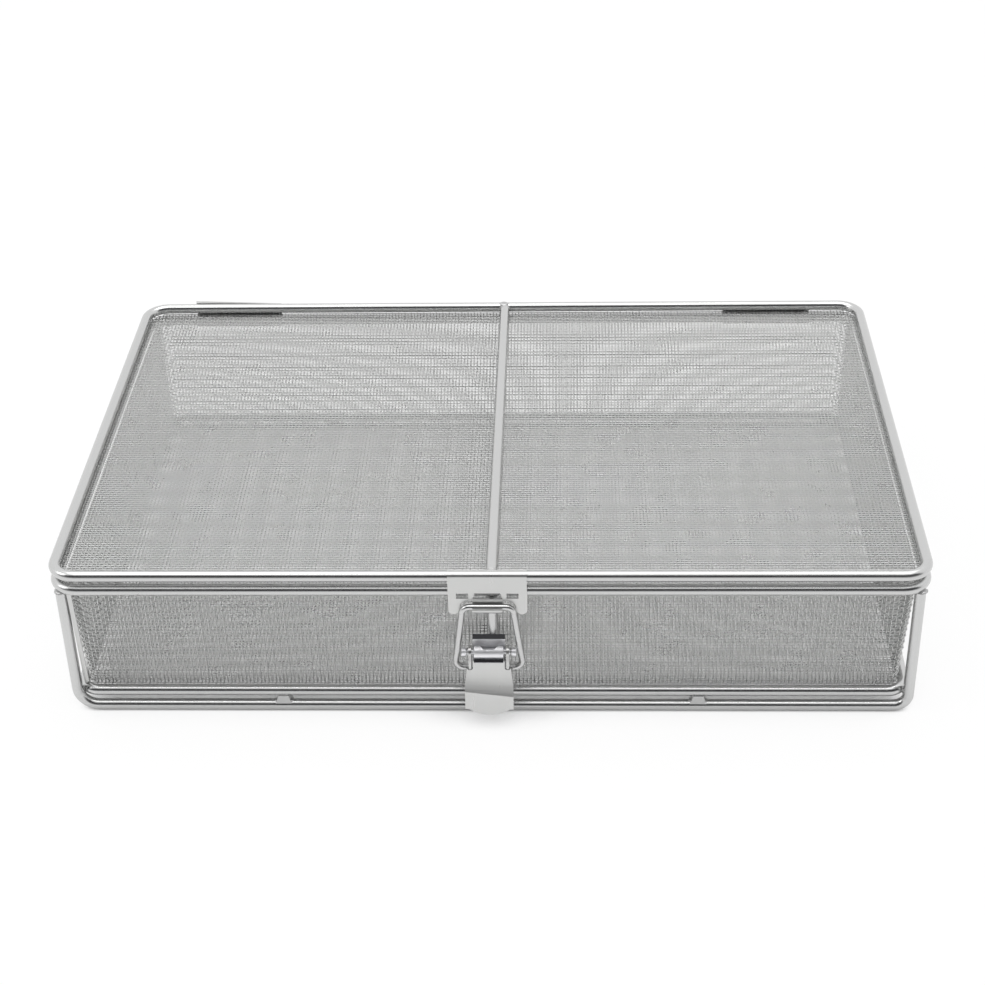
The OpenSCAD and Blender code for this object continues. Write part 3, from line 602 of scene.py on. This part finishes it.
def solid_front(z):
    # the front of the solid lever: an arc, then a straight flare below its own crease
    y = bend_y - math.sqrt(solid_bend ** 2 - (max(z, solid_crease) - bend_h) ** 2)
    return y - max(0.0, solid_crease - z) * math.tan(math.radians(flare))


def pressed_front(x, z):
    upper, lower = math.tan(math.radians(lean_top)), math.tan(math.radians(lean_crease))
    crease = crease_height(x)
    drop = neck_top - crease
    share = min(1.0, (neck_top - z) / drop)
    y = neck_y - drop * (upper * share + (lower - upper) * share * share / 2)
    return y - max(0.0, crease - z) * math.tan(math.radians(lean_below))


print("crease at", round(crease_mid / mm, 1), "mm, solid one at", round(solid_crease / mm, 1), "mm")

# %% Move the tab of the lever to its pressed shape
tab_back = -131.0 * mm
tab = [v for v in shape.verts if v.co.y < tab_back and v.co.z < neck_top]
for v in tab:
    v.co.y += pressed_front(v.co.x, v.co.z) - solid_front(v.co.z)
print("points moved:", len(tab), "of", len(shape.verts))
pressed_lever = finished("pressed_lever", shape, sheet_steel)
shape = bmesh.new()
shape.from_mesh(pressed_lever.data)
sharp = math.radians(12)
for fold in shape.edges:
    if len(fold.link_faces) == 2 and fold.calc_face_angle() > sharp:
        fold.smooth = False
shape.to_mesh(pressed_lever.data)
shape.free()
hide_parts("latch_lever")

# %% The lip, from the y and z of its corners in mm
shape = bmesh.new()
lip = [(-131.95, 36.95), (-132.1, 37.05), (-132.95, 35.5), (-132.75, 35.1), (-131.5, 35.1), (-131.35, 35.9)]
bar_of(shape, [(y * mm, z * mm) for y, z in lip], latch_x - tongue_half, latch_x + tongue_half)
lever_lip = finished("lever_lip", shape, mirror_steel, 0.08 * mm)
for piece in (pressed_lever, lever_lip):
    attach(piece, "lever")
print("lever faces:", len(pressed_lever.data.polygons), "lip faces:", len(lever_lip.data.polygons))

# %% [markdown]
# ## Weld spots
# The pieces are joined by small welds: a bead round the top of each corner post, a spot where the bottom ring
# touches it, four beads on each spacer, two on the latch's post, three on the bar across the lid, and spots
# along the hinge leaves. The ones at the back repeat those in front, and the two behind the keeper are a guess.
# One rounded lump is repeated at a list of places, each with its own size, and Geometry Nodes reads both from
# the points of a small mesh. The collars of the pin are made alike.

# %% Where the welds are, for each body
frame_low, frame_high = panel("front_frame")
post_x = (frame_high.x - frame_low.x) / 2 - rod_r
post_y = -(frame_low.y + frame_high.y) / 2
foot_h = frame_low.z + rod_r
lid_ring_low, lid_ring_high = panel("lid_ring")
lid_h = (lid_ring_low.z + lid_ring_high.z) / 2
side_y = (rim_high.y - rim_low.y) / 2 - rod_r
ring_y = (ring_high.y - ring_low.y) / 2 - rod_r
bar_low, bar_high = panel("lid_centre_bar")
bar_x = (bar_low.x + bar_high.x) / 2
base_welds, lid_welds = [], []
sink = 0.2 * mm
post_bead, corner_spot, latch_bead = (2.95, 2.95, 0.9), (1.2, 1.2, 2.0), (2.9, 2.9, 0.8)
spacer_bead, ring_bead = (1.1, 1.3, 0.7), (1.0, 1.3, 0.7)
bar_end_bead, bar_top_bead = (2.9, 0.8, 2.7), (2.6, 1.9, 0.6)
leaf_spot, keeper_spot = (1.9, 0.8, 1.2), (2.4, 0.8, 0.5)
for sx in (-1, 1):
    for sy in (-1, 1):
        base_welds.append(((sx * post_x, sy * post_y, rim_h - rod_r - sink), post_bead))
        inner = rod_r * math.cos(math.radians(45))
        base_welds.append(((sx * (post_x - inner), sy * (post_y - inner), ring_h), corner_spot))
        spacer = panel(("front" if sy < 0 else "rear") + ("_left" if sx < 0 else "_right") + "_spacer")
        for end in (0, 1):
            x_end = spacer[end].x + (1 - 2 * end) * 0.8 * mm
            toward = 1 if end else -1
            base_welds.append(((x_end + toward * 0.2 * mm, sy * post_y, foot_h + rod_r * 0.9), spacer_bead))
            base_welds.append(((x_end - toward * 1.2 * mm, sy * ring_y, ring_h - rod_r * 0.9), ring_bead))
base_welds.append(((bar_x, -side_y + 0.15 * mm, rim_h - rod_r - sink), latch_bead))
base_welds.append(((bar_x, -ring_y, ring_h + rod_r + sink), latch_bead))
for sy in (-1, 1):
    lid_welds.append(((bar_x, sy * (side_y - rod_r - 0.1 * mm), lid_h), bar_end_bead))
lid_welds.append(((bar_x - 0.6 * mm, side_y - 0.4 * mm, lid_h + rod_r - 0.3 * mm), bar_top_bead))
for node in ("left_hinge_leaf", "right_hinge_leaf"):
    leaf = panel(node)
    for share in (0.12, 0.5, 0.88):
        x = leaf[0].x + share * (leaf[1].x - leaf[0].x)
        lid_welds.append(((x, leaf[1].y - 1.0 * mm, lid_h + 0.3 * mm), leaf_spot))
keeper_low, keeper_high = panel("keeper_plate")
for sx in (-1, 1):
    x = (keeper_low.x + keeper_high.x) / 2 + sx * 12.5 * mm
    lid_welds.append(((x, keeper_high.y + 0.1 * mm, keeper_high.z - 0.75 * mm), keeper_spot))
print("welds:", len(base_welds), "on the base,", len(lid_welds), "on the lid")

# %% The tree that puts a lump at each place
def lumps(name, places, body):
    points = bpy.data.meshes.new(name + "_places")
    points.from_pydata([place for place, _ in places], [], [])
    sizes = points.attributes.new("lump_size", "FLOAT_VECTOR", "POINT")
    for i, (_, size) in enumerate(places):
        sizes.data[i].vector = [v * mm for v in size]
    t = Tree(name, [("Finish", "Material", weld_steel)])
    source = t.tree.interface.new_socket("Places", in_out="INPUT", socket_type="NodeSocketGeometry")
    t.tree.interface.move(source, 0)
    lump = t.add("GeometryNodeMeshIcoSphere", {"Radius": 1.0, "Subdivisions": 3}).outputs[0]
    wave = t.add("ShaderNodeTexNoise", {"Scale": 1.7, "Detail": 1.0}).outputs[0]
    rise = t.math("MULTIPLY", t.math("SUBTRACT", wave, 0.5), 0.5)
    normal = t.add("GeometryNodeInputNormal").outputs[0]
    push = t.add("ShaderNodeVectorMath", {0: normal, "Scale": rise}, operation="SCALE").outputs[0]
    lump = t.add("GeometryNodeSetPosition", {"Geometry": lump, "Offset": push}).outputs[0]
    size = t.add("GeometryNodeInputNamedAttribute", {"Name": "lump_size"}, data_type="FLOAT_VECTOR").outputs[0]
    group_in = [node for node in t.tree.nodes if node.bl_idname == "NodeGroupInput"][0]
    made = t.add("GeometryNodeInstanceOnPoints", {"Points": group_in.outputs["Places"], "Instance": lump,
                                                  "Scale": size}).outputs[0]
    made = t.add("GeometryNodeRealizeInstances", {"Geometry": made}).outputs[0]
    made = t.add("GeometryNodeSetMaterial", {"Geometry": made,
                                             "Material": group_in.outputs["Finish"]}).outputs[0]
    t.tree.links.new(made, t.output)
    piece = grown(name, t, weld_steel, points)
    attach(piece, body)


print("lump tree ready")

# %% The welds and the collars of the pin
collars = [((latch_x + side * x * mm, pin_y, pin_z), (0.6, r, r))
           for side in (-1, 1) for x, r in ((9.6, 1.75), (11.2, 1.95))]
lumps("pin_collars", collars, "lever")
lumps("base_weld_spots", base_welds, "base")
lumps("lid_weld_spots", lid_welds, "lid")
print("collars:", len(collars))

# %% [markdown]
# ## Floor, light and camera
# The floor is pale and keeps the basket's shadow, made faint by mixing in plain white where nothing is near. The
# white background is a colour that only the camera and the reflections see, so that no extra light falls on the
# steel. Large soft lights stand in for a studio.

# %% Ways to tell rays apart and to mix by a share
def combined(nodes, links, operation, *values):
    # the values put together from left to right; each is a socket or a number
    result = values[0]
    for value in values[1:]:
        node = nodes.new("ShaderNodeMath")
        node.operation = operation
        links.new(result, node.inputs[0])
        if isinstance(value, float):
            node.inputs[1].default_value = value
        else:
            links.new(value, node.inputs[1])
        result = node.outputs[0]
    return result


def looked_at(nodes, links):
    # 1 for rays from the camera and for rays mirrored or passed on by metal or glass, 0 for the rest
    ray = nodes.new("ShaderNodeLightPath").outputs
    return combined(nodes, links, "MAXIMUM", ray["Is Camera Ray"], ray["Is Glossy Ray"],
                    ray["Is Transmission Ray"])


def eased(nodes, links, value, start, end, low=0.0, high=1.0):
    # a smooth step from low to high while the value goes from start to end
    step = nodes.new("ShaderNodeMapRange")
    step.interpolation_type = "SMOOTHSTEP"
    for key, number in (("From Min", start), ("From Max", end), ("To Min", low), ("To Max", high)):
        step.inputs[key].default_value = number
    links.new(value, step.inputs["Value"])
    return step.outputs["Result"]


print("ray helpers ready")

# %% Floor
floor_mesh = bpy.data.meshes.new("studio_floor")
floor_half = 4.0
floor_front = -0.6
floor_mesh.from_pydata([(-floor_half, floor_front, 0), (floor_half, floor_front, 0),
                        (floor_half, floor_half, 0), (-floor_half, floor_half, 0)], [], [(0, 1, 2, 3)])
studio_floor = bpy.data.objects.new("studio_floor", floor_mesh)
bpy.context.scene.collection.objects.link(studio_floor)
floor_finish = bpy.data.materials.new("pale_floor")
floor_finish.use_nodes = True
n, l = floor_finish.node_tree.nodes, floor_finish.node_tree.links
n.clear()
matt = n.new("ShaderNodeBsdfDiffuse")
matt.inputs["Color"].default_value = (0.86, 0.86, 0.86, 1)
glow = n.new("ShaderNodeEmission")
glow.inputs["Color"].default_value = (1, 1, 1, 1)
glow.inputs["Strength"].default_value = 1.0


def uncovered(reach, shut, clear):
    # how open the floor is to the sky within a reach, from 0 under the basket to 1 away from it
    cover = n.new("ShaderNodeAmbientOcclusion")
    cover.inputs["Distance"].default_value = reach
    cover.samples = 8
    return eased(n, l, cover.outputs["AO"], shut, clear)


ray = n.new("ShaderNodeLightPath").outputs
mirrored = combined(n, l, "MULTIPLY", ray["Is Glossy Ray"], uncovered(reach=0.3, shut=0.65, clear=0.97), 0.85)
straight = combined(n, l, "MULTIPLY", ray["Is Camera Ray"], uncovered(reach=0.05, shut=0.25, clear=0.62), 0.93)
passed = combined(n, l, "MULTIPLY", ray["Is Transmission Ray"], 0.9)
white_share = combined(n, l, "ADD", mirrored, straight, passed)
mix = n.new("ShaderNodeMixShader")
out = n.new("ShaderNodeOutputMaterial")
l.new(white_share, mix.inputs[0])
l.new(matt.outputs[0], mix.inputs[1])
l.new(glow.outputs[0], mix.inputs[2])
l.new(mix.outputs[0], out.inputs[0])
floor_mesh.materials.append(floor_finish)
print("floor", 2 * floor_half, "m wide, from", floor_front, "m")

# %% [markdown]
# Polished metal shows the room. A studio is white all round, apart from the dark place behind the camera
# where nothing is lit, and that place is what draws the thin dark line along each polished rod. The world
# therefore has a dark patch in front of the basket, full from 20 to 46 degrees above the horizon and faded out
# at 14 degrees below it and 59 above, which only mirrored rays see.

# %% World
world = bpy.data.worlds.new("studio")
bpy.context.scene.world = world
world.use_nodes = True
n, l = world.node_tree.nodes, world.node_tree.links
n.clear()
way = n.new("ShaderNodeTexCoord")
parts = n.new("ShaderNodeSeparateXYZ")
l.new(way.outputs["Generated"], parts.inputs[0])
above = eased(n, l, parts.outputs["Z"], start=-0.25, end=0.34)
below = eased(n, l, parts.outputs["Z"], start=0.72, end=0.86, low=1.0, high=0.0)
ahead = eased(n, l, parts.outputs["Y"], start=-0.42, end=-0.22, low=1.0, high=0.0)
mirrored = n.new("ShaderNodeLightPath").outputs["Is Glossy Ray"]
patch = combined(n, l, "MULTIPLY", above, below, ahead, mirrored)
fill = n.new("ShaderNodeBackground")
fill.inputs["Color"].default_value = (1, 1, 1, 1)
fill.inputs["Strength"].default_value = 0.95
white = n.new("ShaderNodeBackground")
white.inputs["Color"].default_value = (1, 1, 1, 1)
white.inputs["Strength"].default_value = 1.0
dark = n.new("ShaderNodeBackground")
dark.inputs["Color"].default_value = (0.03, 0.03, 0.033, 1)
mix = n.new("ShaderNodeMixShader")
shade = n.new("ShaderNodeMixShader")
out = n.new("ShaderNodeOutputWorld")
l.new(looked_at(n, l), mix.inputs[0])
l.new(fill.outputs[0], mix.inputs[1])
l.new(white.outputs[0], mix.inputs[2])
l.new(patch, shade.inputs[0])
l.new(mix.outputs[0], shade.inputs[1])
l.new(dark.outputs[0], shade.inputs[2])
l.new(shade.outputs[0], out.inputs[0])
print("world ready")

# %% Lights
def soft_light(name, place, aim, size, power):
    data = bpy.data.lights.new(name, "AREA")
    data.shape = "RECTANGLE"
    data.size, data.size_y = size
    data.energy = power
    lamp = bpy.data.objects.new(name, data)
    lamp.location = place
    lamp.rotation_euler = (Vector(aim) - Vector(place)).to_track_quat("-Z", "Y").to_euler()
    bpy.context.scene.collection.objects.link(lamp)


soft_light("top_light", place=(0, 0.1, 1.6), aim=(0, 0, 0), size=(1.6, 1.2), power=12)
soft_light("left_light", place=(-1.6, -0.6, 1.2), aim=(0, 0, 0.05), size=(0.9, 0.9), power=5)

# %% Camera
right = Vector((0.99932945, 0.02935405, -0.0218862))
up = Vector((0.00225201, 0.54732989, 0.83691393))
back = Vector((0.03654578, -0.83640201, 0.54689677))
lens_data = bpy.data.cameras.new("camera")
lens_data.sensor_width = 36
lens_data.lens = 70.972
camera = bpy.data.objects.new("camera", lens_data)
bpy.context.scene.collection.objects.link(camera)
turn = Matrix((right, up, back)).transposed().to_4x4()
camera.matrix_world = Matrix.Translation(Vector((33.250, -803.712, 563.201)) * mm) @ turn
lens_data.clip_start, lens_data.clip_end = 0.05, 50
bpy.context.scene.camera = camera
bpy.context.scene.view_settings.view_transform = "Standard"
print("camera at", [round(v, 3) for v in camera.location])
